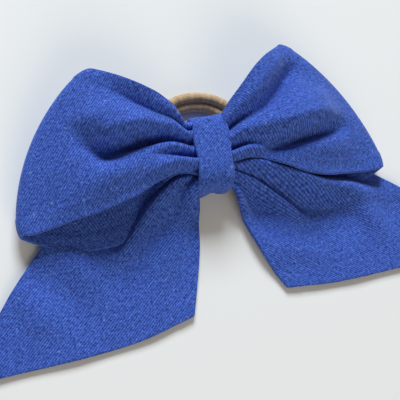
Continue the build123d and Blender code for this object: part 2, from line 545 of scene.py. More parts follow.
class Nodes:
    """Short-hand for wiring one shader node tree."""

    def __init__(self, tree: bpy.types.NodeTree) -> None:
        """Keep the tree and start it empty."""
        self.tree = tree
        tree.nodes.clear()

    def plug(self, value: object, socket: Socket) -> None:
        """Feed a socket from another node, or set it where the value is a constant.

        Args:
            value: Output socket or constant.
            socket: Input socket to feed.
        """
        if isinstance(value, bpy.types.NodeSocket):
            self.tree.links.new(value, socket)
        else:
            socket.default_value = value

    def add(self, kind: str, **values: object) -> bpy.types.Node:
        """New node.

        Args:
            kind: Blender's name for the node type.
            **values: Inputs, as i_ and the input's name or number; anything else is a setting.

        Returns:
            The node.
        """
        node = self.tree.nodes.new(kind)
        inputs = {key: value for key, value in values.items() if key.startswith("i_")}
        for key, value in values.items():
            if key not in inputs:
                setattr(node, key, value)
        for key, value in inputs.items():
            name = key[2:].replace("_", " ")
            self.plug(value, node.inputs[int(name)] if name.isdigit() else node.inputs[name])
        return node

    def math(self, operation: str, a: object, b: object = 0.0) -> Socket:
        """Result of one Math node."""
        return self.add("ShaderNodeMath", operation=operation, i_0=a, i_1=b).outputs[0]

    def stretch(self, vector: Socket, scale: tuple[float, float, float]) -> Socket:
        """Vector multiplied by a scale along each axis."""
        return self.add("ShaderNodeVectorMath", operation="MULTIPLY", i_0=vector, i_1=scale).outputs[0]

    def mix(self, share: object, a: object, b: object, blend: str = "MIX") -> Socket:
        """Colour mixed from a to b.

        Args:
            share: 0 for a, 1 for b.
            a: First colour.
            b: Second colour.
            blend: Blender's name for the way of mixing.

        Returns:
            The mixed colour.
        """
        node = self.add("ShaderNodeMix", data_type="RGBA", blend_type=blend, i_0=share)
        self.plug(a, node.inputs[6])
        self.plug(b, node.inputs[7])
        return node.outputs[2]

    def noise(self, vector: Socket, scale: float, detail: float = 2.0, rough: float = 0.5) -> Socket:
        """Value of a noise texture, from 0 to 1."""
        settings = {"i_Scale": scale, "i_Detail": detail, "i_Roughness": rough}
        return self.add("ShaderNodeTexNoise", i_Vector=vector, **settings).outputs[0]

    def ramp(self, value: Socket, low: float, high: float) -> Socket:
        """Value mapped from low..high to 0..1, held at the ends."""
        return self.add("ShaderNodeMapRange", i_0=value, i_1=low, i_2=high, i_3=0.0, i_4=1.0).outputs[0]

    def finish(
        self,
        colour: object,
        roughness: float,
        settings: dict[str, object],
        bump: bpy.types.Node | None = None,
    ) -> None:
        """Principled shader joined to the material's output.

        Args:
            colour: Base colour, as a socket or a constant.
            roughness: Roughness of the surface.
            settings: Constants for the shader's other inputs, by name.
            bump: Bump node for the relief, if the surface has one.
        """
        shader = self.add("ShaderNodeBsdfPrincipled", i_Roughness=roughness)
        for name, value in settings.items():
            shader.inputs[name].default_value = value
        self.plug(colour, shader.inputs["Base Color"])
        if bump is not None:
            self.plug(bump.outputs[0], shader.inputs["Normal"])
        self.plug(shader.outputs[0], self.add("ShaderNodeOutputMaterial").inputs[0])


def new_material(name: str) -> tuple[bpy.types.Material, Nodes]:
    """Empty material with the short-hand for its nodes.

    Args:
        name: Name of the material.

    Returns:
        The material and its nodes.
    """
    material = bpy.data.materials.new(name)
    material.use_nodes = True
    return material, Nodes(material.node_tree)


def weave_group() -> bpy.types.NodeTree:
    """Node group of a woven cloth with a fine broken diagonal.

    The diagonal is a sine of the sum of the warp's and the weft's phases.  Noise breaks it up and
    makes the threads uneven, and stretched noise lays slubs along them.

    Returns:
        The group, with inputs Vector (cloth coordinates) and Pitch (threads to one unit of them),
        and outputs Height, Thread (thread tops), Slub (pale thick places) and Mottle (slow
        unevenness).
    """
    tree = bpy.data.node_groups.new("woven canvas", "ShaderNodeTree")
    face = tree.interface
    face.new_socket("Vector", in_out="INPUT", socket_type="NodeSocketVector")
    face.new_socket("Pitch", in_out="INPUT", socket_type="NodeSocketFloat").default_value = 140.0
    for name in ("Height", "Thread", "Slub", "Mottle"):
        face.new_socket(name, in_out="OUTPUT", socket_type="NodeSocketFloat")
    n = Nodes(tree)
    start = n.add("NodeGroupInput")
    vector, pitch = start.outputs[0], start.outputs[1]
    wander = n.add("ShaderNodeTexNoise", i_Vector=vector, i_Scale=26.0, i_Detail=2.0)
    drift = n.stretch(wander.outputs[1], (0.003, 0.003, 0.0))
    shifted = n.add("ShaderNodeVectorMath", operation="ADD", i_0=drift, i_1=vector).outputs[0]
    split = n.add("ShaderNodeSeparateXYZ", i_0=shifted)
    turns = 2 * math.pi
    warp_phase = n.math("MULTIPLY", n.math("MULTIPLY", split.outputs[0], pitch), turns)
    weft_phase = n.math("MULTIPLY", n.math("MULTIPLY", split.outputs[1], pitch), turns)
    half_sum = n.math("MULTIPLY", n.math("ADD", warp_phase, weft_phase), 0.5)
    diagonal = n.ramp(n.math("SINE", half_sum), -1.0, 1.0)
    broken = n.math("MULTIPLY", diagonal, n.ramp(n.noise(vector, 60.0, 2.0, 0.6), 0.15, 0.65))
    woven = n.math("ADD", n.math("MULTIPLY", broken, 0.8), 0.1)
    fibre = n.noise(vector, 420.0, 3.0, 0.7)
    uneven = n.ramp(n.noise(vector, 120.0, 3.0, 0.7), 0.25, 0.75)
    thread = n.math("ADD", n.math("MULTIPLY", woven, 0.46), n.math("MULTIPLY", uneven, 0.54))
    slub_a = n.ramp(n.noise(n.stretch(vector, (30.0, 170.0, 1.0)), 1.0, 1.0), 0.68, 0.84)
    slub_b = n.ramp(n.noise(n.stretch(vector, (170.0, 30.0, 1.0)), 1.0, 1.0), 0.70, 0.86)
    neps = n.ramp(n.noise(vector, 75.0, 0.0), 0.75, 0.81)
    slub = n.math("MAXIMUM", n.math("MAXIMUM", slub_a, slub_b), neps)
    height = n.math("ADD", n.math("MULTIPLY", thread, 0.8), n.math("MULTIPLY", fibre, 0.35))
    height = n.math("ADD", height, n.math("MULTIPLY", slub, 0.5))
    mottle = n.noise(vector, 9.0, 3.0, 0.55)
    end = n.add("NodeGroupOutput")
    for index, socket in enumerate((height, thread, slub, mottle)):
        tree.links.new(socket, end.inputs[index])
    return tree


@dataclass(frozen=True)
class LinenCanvas:
    """Royal blue linen canvas: matt, with thread tops paler than the gaps and a few pale slubs."""

    name: str = "royal blue linen canvas"
    deep: Colour = (0.010, 0.026, 0.195, 1.0)
    thread: Colour = (0.106, 0.240, 0.92, 1.0)
    slub: Colour = (0.24, 0.36, 0.82, 1.0)
    pitch: float = 185.0
    relief: float = 0.00015

    def build(self, weave: bpy.types.NodeTree) -> bpy.types.Material:
        """Colour and relief come from the weave group on the cloth coordinates.

        Args:
            weave: The weave group.

        Returns:
            The material.
        """
        material, n = new_material(self.name)
        uv = n.add("ShaderNodeUVMap", uv_map="cloth").outputs[0]
        cloth = n.add("ShaderNodeGroup", node_tree=weave, i_Vector=uv, i_Pitch=self.pitch)
        base = n.mix(n.ramp(cloth.outputs["Thread"], 0.2, 0.92), self.deep, self.thread)
        pale = n.mix(n.math("MULTIPLY", cloth.outputs["Slub"], 0.42), base, self.slub)
        uneven = n.ramp(cloth.outputs["Mottle"], 0.2, 0.8)
        shade = n.mix(uneven, (0.90, 0.90, 0.92, 1), (1.08, 1.08, 1.06, 1))
        colour = n.mix(1.0, pale, shade, "MULTIPLY")
        bump = n.add(
            "ShaderNodeBump", i_Strength=0.8, i_Distance=self.relief, i_Height=cloth.outputs["Height"]
        )
        fuzz = {"Sheen Weight": 0.35, "Sheen Roughness": 0.45, "Sheen Tint": (0.45, 0.58, 1.0, 1.0)}
        n.finish(colour, 0.88, {"Specular IOR Level": 0.22, **fuzz}, bump)
        return material


@dataclass(frozen=True)
class KnittedElastic:
    """Tan knitted nylon round the elastic: fine ribs along it and small puckers across it, with a
    painted highlight on their raised parts and painted shade in their hollows.
    """

    name: str = "tan knitted elastic"
    # deep is the painted shade of the knit's hollows and pucker creases; top is the painted highlight of
    # their raised parts.
    deep: Colour = (0.34, 0.195, 0.080, 1.0)
    top: Colour = (0.86, 0.60, 0.32, 1.0)

    def build(self) -> bpy.types.Material:
        """Material on the cord's own coordinates: length along it, and once round it.

        Returns:
            The material.
        """
        material, n = new_material(self.name)
        uv = n.add("ShaderNodeUVMap", uv_map="cloth").outputs[0]
        split = n.add("ShaderNodeSeparateXYZ", i_0=uv)
        wander = n.noise(uv, 55.0, 2.0)
        ribs_round = n.math("MULTIPLY", split.outputs[1], 1050.0)
        around = n.math("ADD", ribs_round, n.math("MULTIPLY", wander, 2.0))
        rib = n.ramp(n.math("SINE", around), -1.0, 1.0)
        stitch = n.ramp(n.math("SINE", n.math("MULTIPLY", split.outputs[0], 1250.0)), -1.0, 1.0)
        knit = n.math("MULTIPLY", n.math("ADD", n.math("MULTIPLY", stitch, 0.45), 0.55), rib)
        pucker = n.ramp(n.noise(n.stretch(uv, (75.0, 14.0, 1.0)), 1.0, 2.0), 0.3, 0.7)
        # The knit and pucker relief also sets the colour: painted highlight where it rises, painted
        # shade where it sinks.
        raised = n.math("ADD", n.math("MULTIPLY", knit, 0.55), n.math("MULTIPLY", pucker, 0.45))
        colour = n.mix(raised, self.deep, self.top)
        height = n.math("ADD", n.math("MULTIPLY", knit, 0.5), n.math("MULTIPLY", pucker, 1.0))
        bump = n.add("ShaderNodeBump", i_Strength=0.6, i_Distance=0.00022, i_Height=height)
        n.finish(colour, 0.72, {"Sheen Weight": 0.25, "Sheen Roughness": 0.5}, bump)
        return material


@dataclass(frozen=True)
class SewingThread:
    """Twisted blue sewing thread, slightly glossy."""

    name: str = "blue sewing thread"
    colour: Colour = (0.03, 0.06, 0.30, 1.0)
    light: Colour = (0.07, 0.12, 0.45, 1.0)

    def build(self) -> bpy.types.Material:
        """Material with a fine twist on Object coordinates.

        Returns:
            The material.
        """
        material, n = new_material(self.name)
        place = n.add("ShaderNodeTexCoord").outputs["Object"]
        twist = n.add("ShaderNodeTexWave", i_Vector=place, i_Scale=900.0, i_Distortion=1.5)
        twist.bands_direction = "DIAGONAL"
        colour = n.mix(twist.outputs[1], self.colour, self.light)
        bump = n.add("ShaderNodeBump", i_Strength=0.5, i_Distance=0.0001, i_Height=twist.outputs[1])
        n.finish(colour, 0.5, {}, bump)
        return material


@dataclass(frozen=True)
class NaturalRubber:
    """Dull natural rubber of the elastic's core."""

    name: str = "natural rubber"

    def build(self) -> bpy.types.Material:
        """Material with a dusty unevenness on Object coordinates.

        Returns:
            The material.
        """
        material, n = new_material(self.name)
        place = n.add("ShaderNodeTexCoord").outputs["Object"]
        dust = n.noise(place, 900.0, 3.0)
        colour = n.mix(dust, (0.52, 0.44, 0.34, 1), (0.66, 0.58, 0.46, 1))
        n.finish(colour, 0.8, {})
        return material


def dress(piece: bpy.types.Object, material: bpy.types.Material) -> None:
    """Give a piece one material, in place of whatever it carried."""
    piece.data.materials.clear()
    piece.data.materials.append(material)


# ---- loops -----------------------------------------------------------------------------------


@dataclass
class BowLoop:
    """One loop of the bow: a strip from the knot's front, out to a fold and back behind it.

    Each thread of the strip (v from 0 at the lower edge to 1 at the upper) runs straight out in plan
    from its place beside the knot to the outer fold, rises over a belly, turns round the fold and
    comes back underneath.  Gathers and soft swells are added to its height.
    """

    side: Side
    fold_low: Point
    fold_high: Point
    fold_heights: tuple[float, float]
    fold_bulge: float
    fold_radius: float
    front: tuple[Gather, ...]
    back: tuple[Gather, ...]
    low_edge: list[Point]
    high_edge: list[Point]
    back_edge: list[Point]
    belly: list[Point]
    belly_low: list[Point]
    swells: tuple[Swell, ...] = ()
    knot_x: float = 7.2
    front_z: float = 14.6
    back_z: float = 12.2
    threads: int = 190
    seed: int = 3

    def fold(self, v: Array) -> Array:
        """Outer fold: a slanting line, bulging outwards by 4 v (1 - v), rounded at its corners.

        Args:
            v: Share of the strip's width.

        Returns:
            Points (x, y, z) along the fold.
        """
        low, high = np.array(self.fold_low), np.array(self.fold_high)
        along = high - low
        outward = np.array([along[1], -along[0]]) / np.linalg.norm(along)
        bulge = self.fold_bulge * 4 * v * (1 - v) - self.fold_radius
        bulge = bulge - 1.6 * np.exp(-(1 - v) / 0.035) - 1.4 * np.exp(-v / 0.04)
        plan = low + v[:, None] * along + bulge[:, None] * outward
        z = self.fold_heights[0] + (self.fold_heights[1] - self.fold_heights[0]) * v**1.2
        return np.column_stack([plan, z])

    def sheet_side(self, v: Array, share: Array, front: bool) -> Array:
        """Front or back wall of the loop: straight threads in plan, on a belly with gathers and swells.

        Args:
            v: Share of the strip's width.
            share: Share of the way from the knot to the fold.
            front: Whether this is the front wall.

        Returns:
            Points of the wall, shares by v by 3.
        """
        gathers = self.front if front else self.back
        fold = self.fold(v)[None]
        s = share[:, None]
        knot_y = gather_spread(gathers, v)[None, :]
        x = self.knot_x + (fold[..., 0] - self.knot_x) * s
        y = knot_y + (fold[..., 1] - knot_y) * s
        low = through(self.low_edge if front else self.back_edge, share)[:, None]
        high = through(self.high_edge, share)[:, None]
        y = y + low * (1 - v) ** 2 + high * v**2
        distance = np.hypot(x - self.knot_x, (y - knot_y) * 0.6)
        if front:
            end = fold[..., 2] + self.fold_radius
            low_rise = through(self.belly_low, share)[:, None]
            rise = through(self.belly, share)[:, None]
            z = self.front_z + (end - self.front_z) * s + low_rise + (rise - low_rise) * smooth(v / 0.35)
            for swell in self.swells:
                z = z + swell.lift(x, y) * smooth((1 - s) / 0.25)
        else:
            end = fold[..., 2] - self.fold_radius
            drop = (1 - v) ** 0.7 * smooth(s / 0.38) + (1 - (1 - v) ** 0.7) * s
            z = self.back_z + (end - self.back_z) * drop
        z = z + gather_lift(gathers, distance, v[None, :]) * smooth((1 - s) / 0.3)
        z = z + 0.22 * ripple(x, y, 15.0, self.seed) * smooth(distance / 8) * smooth((1 - s) / 0.15)
        return np.stack([x, y, z], axis=-1)

    def middle(self) -> Array:
        """Middle surface of the whole loop, from the knot's front round the fold to its back.

        Returns:
            Points of the surface, rows by threads by 3.
        """
        v = np.linspace(0, 1, self.threads)
        front = self.sheet_side(v, np.linspace(0, 1, FRONT_ROWS) ** 1.15, True)
        back = self.sheet_side(v, np.linspace(1, 0, BACK_ROWS), False)
        fold = self.fold(v)
        along = np.array(self.fold_high) - np.array(self.fold_low)
        outward = np.array([along[1], -along[0], 0]) / np.linalg.norm(along)
        angle = np.radians(np.linspace(90, -90, TURN_ROWS + 2))[1:-1, None, None]
        upward = np.array([0, 0, 1.0])
        turn = fold[None] + self.fold_radius * (np.cos(angle) * outward + np.sin(angle) * upward)
        grid = np.concatenate([front, turn, back])
        eased = FRONT_ROWS - 12
        grid[eased:] = blurred(grid[eased:], 10)
        inner_front = self.into_knot(front[0], KNOT_ROWS)
        inner_back = self.into_knot(back[-1], KNOT_ROWS)[::-1]
        grid = np.concatenate([inner_front, grid, inner_back])
        grid[..., 0] *= self.side.value
        return grid

    def into_knot(self, row: Array, count: int) -> Array:
        """Rows that carry a wall's gathered edge into the knot, towards the middle of the wrap.

        Args:
            row: Points of the wall beside the knot.
            count: Number of rows wanted.

        Returns:
            The rows, from the middle outwards.
        """
        share = np.linspace(0, 1, count, endpoint=False)[:, None, None]
        rows = np.repeat(row[None], count, 0).copy()
        rows[..., 0] = 1.0 + (row[None, :, 0] - 1.0) * share[..., 0]
        centre = row[:, 2].mean()
        rows[..., 2] = centre + (row[None, :, 2] - centre) * (0.45 + 0.55 * share[..., 0])
        return rows

    def build(self, cloth: bpy.types.Material) -> bpy.types.Object:
        """Make the loop, dress it and hide the CAD parts it stands in for.

        Args:
            cloth: Material of the bow.

        Returns:
            The finished piece.
        """
        word = self.side.word
        middle = self.middle()
        wall = (FIRST_TURN - 8, FIRST_TURN + TURN_ROWS + 7)
        piece = SewnStrip(f"{word}_loop_cloth", middle, uv_turn=4.0, wall=wall).build()
        dress(piece, cloth)
        nodes = [f"{word}_loop_outer_ply", f"{word}_loop_inner_ply"]
        nodes += ["loop_strip_front_middle"] if self.side is Side.LEFT else ["loop_strip_back_middle"]
        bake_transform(piece)
        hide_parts(*nodes)
        LOG.info("%s: %d faces", piece.name, len(piece.data.polygons))
        return piece


# ---- tails -----------------------------------------------------------------------------------


@dataclass
class BowTail:
    """One tail: a strip that leaves the knot in gathers, comes down to the table and lies on it.

    Its inner and outer edges are Bezier curves in plan; each thread of the strip lies between them.
    The height falls from the knot to the table, later towards the outer edge, where the strip goes
    under the loop.
    """

    side: Side
    inner: tuple[Point, Point, Point, Point]
    outer: tuple[Point, Point, Point, Point]
    end_sag: list[Point]
    gathers: tuple[Gather, ...]
    knot_heights: list[Point]
    landing: list[Point]
    leaving: list[Point]
    crests: tuple[Crest, ...] = ()
    lifted_edge: float = 0.0
    swells: tuple[Swell, ...] = ()
    knot_x: float = 7.2
    threads: int = 170
    seed: int = 11

    def middle(self) -> Array:
        """Middle surface of the tail, from the knot to its end.

        The plan lies between the inner and the outer edge.  The height eases from the knot's down to
        the table's, is raised to the crests and gets the gathers, the swells and a slight ripple; the
        table holds it up softly, by 0.35 log(1 + exp((z - table) / 0.35)).

        Returns:
            Points of the surface, rows by threads by 3.
        """
        u = np.linspace(0, 1, 170) ** 1.1
        v = np.linspace(0, 1, self.threads)
        inner = bezier(*self.inner, u)[:, None]
        outer = bezier(*self.outer, u)[:, None]
        knot_y = gather_spread(self.gathers, v)
        even = self.inner[0][1] + (self.outer[0][1] - self.inner[0][1]) * v
        near = np.exp(-((u / 0.22) ** 1.5))[:, None]
        plan = inner + (outer - inner) * v[None, :, None]
        x = plan[..., 0]
        y = plan[..., 1] + (knot_y - even)[None, :] * near
        y = y + through(self.end_sag, v)[None, :] * u[:, None] ** 3
        distance = np.hypot(x - self.knot_x, y - knot_y[None, :])
        leave, land = through(self.leaving, v)[None, :], through(self.landing, v)[None, :]
        start = through(self.knot_heights, v)[None, :]
        fall = 1 - smooth((distance - leave) / (land - leave))
        z = 0.9 + (start - 0.9) * fall
        for crest in self.crests:
            z = crest.over(x, y, z)
        z = z + gather_lift(self.gathers, distance, v[None, :])
        for swell in self.swells:
            z = z + swell.lift(x, y)
        z = z + 0.3 * (ripple(x, y, 19.0, self.seed) + 0.6) * smooth((distance - 10) / 15)
        lifted_here = np.sin(math.pi * np.clip(u * 1.15, 0, 1))[:, None]
        z = z + self.lifted_edge * np.exp(-v / 0.10)[None, :] * lifted_here
        table = 0.8
        z = table + np.log1p(np.exp((z - table) / 0.35)) * 0.35
        grid = np.stack([x, y, z], axis=-1)
        inside = self.into_knot(grid[0], KNOT_ROWS)
        grid = np.concatenate([inside, grid])
        grid[..., 0] *= self.side.value
        return grid

    def into_knot(self, row: Array, count: int) -> Array:
        """Rows that carry the gathered end into the knot, flattening into the stack of strips.

        Args:
            row: Points of the tail beside the knot.
            count: Number of rows wanted.

        Returns:
            The rows, from the middle outwards.
        """
        share = np.linspace(0, 1, count, endpoint=False)[:, None, None]
        rows = np.repeat(row[None], count, 0).copy()
        rows[..., 0] = 1.0 + (row[None, :, 0] - 1.0) * share[..., 0]
        rows[..., 2] = 10.9 + (row[None, :, 2] - 10.9) * share[..., 0]
        rows[..., 1] = row[None, :, 1] * (0.85 + 0.15 * share[..., 0])
        return rows

    def build(self, cloth: bpy.types.Material) -> bpy.types.Object:
        """Make the tail, dress it and hide the CAD parts it stands in for.

        Args:
            cloth: Material of the bow.

        Returns:
            The finished piece.
        """
        word = self.side.word
        middle = self.middle()
        piece = SewnStrip(f"{word}_tail_cloth", middle, end=Edge.FOLDED, uv_turn=-5.0).build()
        dress(piece, cloth)
        nodes = [f"{word}_tail_{part}" for part in ("face_ply", "backing_ply", "end_stitches")]
        nodes += ["tail_strip_middle"] if self.side is Side.LEFT else []
        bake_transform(piece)
        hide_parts(*nodes)
        LOG.info("%s: %d faces", piece.name, len(piece.data.polygons))
        return piece


# ---- centre wrap -----------------------------------------------------------------------------


@dataclass
class CentreWrap:
    """Folded band of cloth round the knot, closed by hand stitches at the back."""

    width: float = 12.1
    half_length: float = 13.4
    height: float = 17.2
    lean: float = -8.5
    shift: float = 1.5
    columns: int = 60

    def route(self, count: int) -> Array:
        """Side view of the band's middle line: a rounded rectangle.

        It is a superellipse: y goes as cos^0.52 and z as sin^0.52, each with its sign kept.

        Args:
            count: Number of points round the band.

        Returns:
            Points (y, z) of the closed line.
        """
        t = np.linspace(0, 2 * math.pi, count, endpoint=False)
        c, s = np.cos(t), np.sin(t)
        power, half_cloth = 0.52, 0.6
        y = (self.half_length - half_cloth) * np.sign(c) * np.abs(c) ** power
        z = np.sign(s) * np.abs(s) ** power
        return np.column_stack([y, self.height / 2 + z * (self.height / 2 - half_cloth)])

    def middle(self) -> Array:
        """Middle surface: the route carried along X, leaning and a little uneven at its edges.

        Returns:
            Points of the surface, round the band by across it by 3.
        """
        route = self.route(260)
        even = np.linspace(-1, 1, self.columns)
        y, z = route[:, 0][:, None], route[:, 1][:, None]
        front = smooth((z - self.height * 0.35) / (self.height * 0.4))
        half = self.width / 2 * (1 - 0.035 * np.cos(y / 9.0) * front)
        wave = 0.25 * np.sin(y / 3.3 + 0.6) + 0.18 * np.sin(y / 1.9)
        x = even[None, :] * half + wave * even[None, :] * 0.9
        x = x + y * math.tan(math.radians(-self.lean)) + 0.3
        cup = 0.35 * (1 - even[None, :] ** 2) * front
        drape = 0.35 * np.sin(even * 4.6 + 0.8)[None, :] * smooth((-y - 8) / 5)
        grid_y = y + drape * 1.4 - 0.05 * even[None, :] * front
        slub = 0.7 * np.exp(-(((x - 1.6) / 0.55) ** 2) - ((y - 10.4) / 0.55) ** 2) * front
        grid_z = z + cup + slub + 0.12 * ripple(x, y + 0 * x, 7.0, 5)
        return np.stack([x + 0 * y, grid_y + self.shift, np.maximum(grid_z, 0.62)], axis=-1)

    def build(self, cloth: bpy.types.Material) -> bpy.types.Object:
        """Closed band with folded edges, made as rings of cloth round the route.

        Args:
            cloth: Material of the bow.

        Returns:
            The finished piece.
        """
        grid = self.middle()
        normal = np.cross(np.roll(grid, -1, 0) - np.roll(grid, 1, 0), np.gradient(grid, axis=1))
        normal /= np.linalg.norm(normal, axis=-1, keepdims=True)
        across = lengths_along(grid, 1)
        inside = np.minimum(across, across[:, -1:] - across)
        half = (1.0 + 0.45 * (1 - smooth((inside - 2.4) / 1.4)))[..., None] / 2
        first, last = edge_directions(grid)
        turn = np.radians([65, 35, 0, -35, -65])
        ring = np.concatenate(
            [
                grid + half * normal,
                folded_edge(grid[:, -1], last, normal[:, -1], half[:, -1], turn, 0.9),
                (grid - half * normal)[:, ::-1],
                folded_edge(grid[:, 0], first, normal[:, 0], half[:, 0], -turn, 0.9),
            ],
            axis=1,
        )
        ring[..., 2] = np.maximum(ring[..., 2], 0.0)
        rows, columns = ring.shape[:2]
        along = lengths_along(np.concatenate([grid, grid[:1]]), 0)[:-1]
        width = across[:, -1:]
        beside = np.linspace(0.3, 1.2, len(turn))[None]
        under = 2 * width + 1.5
        wide = np.concatenate([across, width + beside, under - across[:, ::-1], under + beside], axis=1)
        middle = self.columns // 2
        long = np.repeat(along[:, middle : middle + 1], columns, 1)
        piece = make_mesh(
            "centre_wrap_cloth",
            ring.reshape(-1, 3),
            quads(rows, columns, wrap_rows=True, wrap_columns=True),
            np.stack([long, wide + 40.0], axis=-1).reshape(-1, 2),
        )
        recalculate(piece)
        dress(piece, cloth)
        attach(piece, "knot")
        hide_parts("centre_wrap", "centre_wrap_lining")
        LOG.info("%s: %d faces", piece.name, len(piece.data.polygons))
        return piece


def recalculate(piece: bpy.types.Object) -> None:
    """Turn all of a closed mesh's faces outwards.

    Args:
        piece: Object whose mesh is changed in place.
    """
    edit = bmesh.new()
    edit.from_mesh(piece.data)
    bmesh.ops.recalc_face_normals(edit, faces=edit.faces[:])
    edit.to_mesh(piece.data)
    edit.free()


# ---- hair elastic ----------------------------------------------------------------------------


@dataclass
class HairElastic:
    """Covered elastic in two turns, threaded under the wrap: straight there, round outside."""

    strand: float = 3.8
    outer_radius: float = 14.5
    straight: float = 5.5
    turn_offset: float = 2.4
    level_offset: float = 2.5
    depth: float = 13.2
    axis_z: float = 5.96
    droop: float = 7.0
    spread: float = 0.17
    lean: float = 0.06

    def route(self, inset: float, level: float, count: int = 420) -> Array:
        """Closed middle line of one turn: a straight run, two corner arcs and a round part.

        The line is drawn flat, spaced evenly, spread and leaned outside the knot, and then tilted by
        the droop about the hinge.

        Args:
            inset: How far inside the outer turn it runs, in millimetres.
            level: Height above the middle of the two turns, in millimetres.
            count: Number of points.

        Returns:
            Points (x, y, z) of the closed line.
        """
        radius = self.outer_radius - inset
        base = -self.turn_offset / 2 + inset
        centre = -self.turn_offset / 2 + self.depth
        gap = centre - base
        corner = (radius**2 - self.straight**2 - gap**2) / (2 * (radius - gap))
        slope = math.atan2(base + corner - centre, self.straight)
        run = np.linspace(-self.straight, self.straight, 60)
        straight = np.column_stack([run, np.full(60, base)])
        a = np.linspace(-math.pi / 2, slope, 60)
        right = np.column_stack([self.straight + corner * np.cos(a), base + corner + corner * np.sin(a)])
        b = np.linspace(slope, math.pi - slope, 200)
        top = np.column_stack([radius * np.cos(b), centre + radius * np.sin(b)])
        left = right[::-1] * np.array([-1, 1])
        line = np.concatenate([straight, right[1:], top[1:], left[1:-1]])
        closed = np.concatenate([line, line[:1]])
        travelled = np.concatenate([[0], np.cumsum(np.linalg.norm(np.diff(closed, axis=0), axis=1))])
        even = np.linspace(0, travelled[-1], count, endpoint=False)
        flat = np.column_stack([np.interp(even, travelled, closed[:, i]) for i in (0, 1)])
        flat[:, 0] *= 1 + self.spread * smooth(flat[:, 1] / 11)
        flat[:, 0] += self.lean * np.maximum(flat[:, 1], 0)
        drop = math.radians(self.droop)
        y, z = flat[:, 1], level
        tilted_y = y * math.cos(drop) + z * math.sin(drop)
        tilted_z = self.axis_z + z * math.cos(drop) - y * math.sin(drop)
        return np.column_stack([flat[:, 0], tilted_y, tilted_z])

    def turn(self, name: str, inset: float, level: float, seed: int) -> bpy.types.Object:
        """One turn as a tube whose girth swells and tightens slightly along it, in sine waves.

        Args:
            name: Name of the piece.
            inset: How far inside the outer turn it runs, in millimetres.
            level: Height above the middle of the two turns, in millimetres.
            seed: Phase of the waves.

        Returns:
            The tube, not yet dressed.
        """
        line = self.route(inset, level)
        step = np.roll(line, -1, 0) - np.roll(line, 1, 0)
        tangent = step / np.linalg.norm(step, axis=1, keepdims=True)
        drop = math.radians(self.droop)
        up = np.array([0, math.sin(drop), math.cos(drop)])
        side = np.cross(tangent, up)
        side /= np.linalg.norm(side, axis=1, keepdims=True)
        round_it = np.linspace(0, 2 * math.pi, 40, endpoint=False)
        travelled = np.linspace(0, 2 * math.pi, len(line), endpoint=False)
        waves = enumerate((5, 11, 23, 41))
        knit = sum(0.8**order * np.sin(travelled * times + seed + order) for order, times in waves)
        pleat = np.sin(travelled[:, None] * 64 + 1.3 * np.sin(round_it[None] * 2 + seed))
        girth = self.strand / 2 * (0.99 + 0.006 * knit[:, None] + 0.004 * pleat)
        tube = line[:, None] + girth[..., None] * (
            np.cos(round_it)[None, :, None] * side[:, None] + np.sin(round_it)[None, :, None] * up
        )
        rows, columns = tube.shape[:2]
        length = np.linalg.norm(np.diff(line, axis=0), axis=1).mean() * rows
        along = np.repeat(np.linspace(0, length, rows, endpoint=False)[:, None], columns, 1)
        around = np.repeat((round_it / (2 * math.pi) * self.strand * math.pi)[None], rows, 0)
        piece = make_mesh(
            name,
            tube.reshape(-1, 3),
            quads(rows, columns, wrap_rows=True, wrap_columns=True),
            np.stack([along, around], axis=-1).reshape(-1, 2),
        )
        recalculate(piece)
        return piece

    def build(self, knit: bpy.types.Material) -> list[bpy.types.Object]:
        """Make both turns, dress them and hand them to the frame.

        Args:
            knit: Material of the cover.

        Returns:
            The upper and the lower turn.
        """
        half = self.level_offset / 2
        turns = [
            self.turn("elastic_upper_turn", 0.0, half, 1),
            self.turn("elastic_lower_turn", self.turn_offset, -half, 2),
        ]
        for piece in turns:
            dress(piece, knit)
            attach(piece, "elastic")
            LOG.info("%s: %d faces", piece.name, len(piece.data.polygons))
        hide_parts("elastic_cover", "elastic_core")
        return turns


# ---- the bow's own shapes --------------------------------------------------------------------


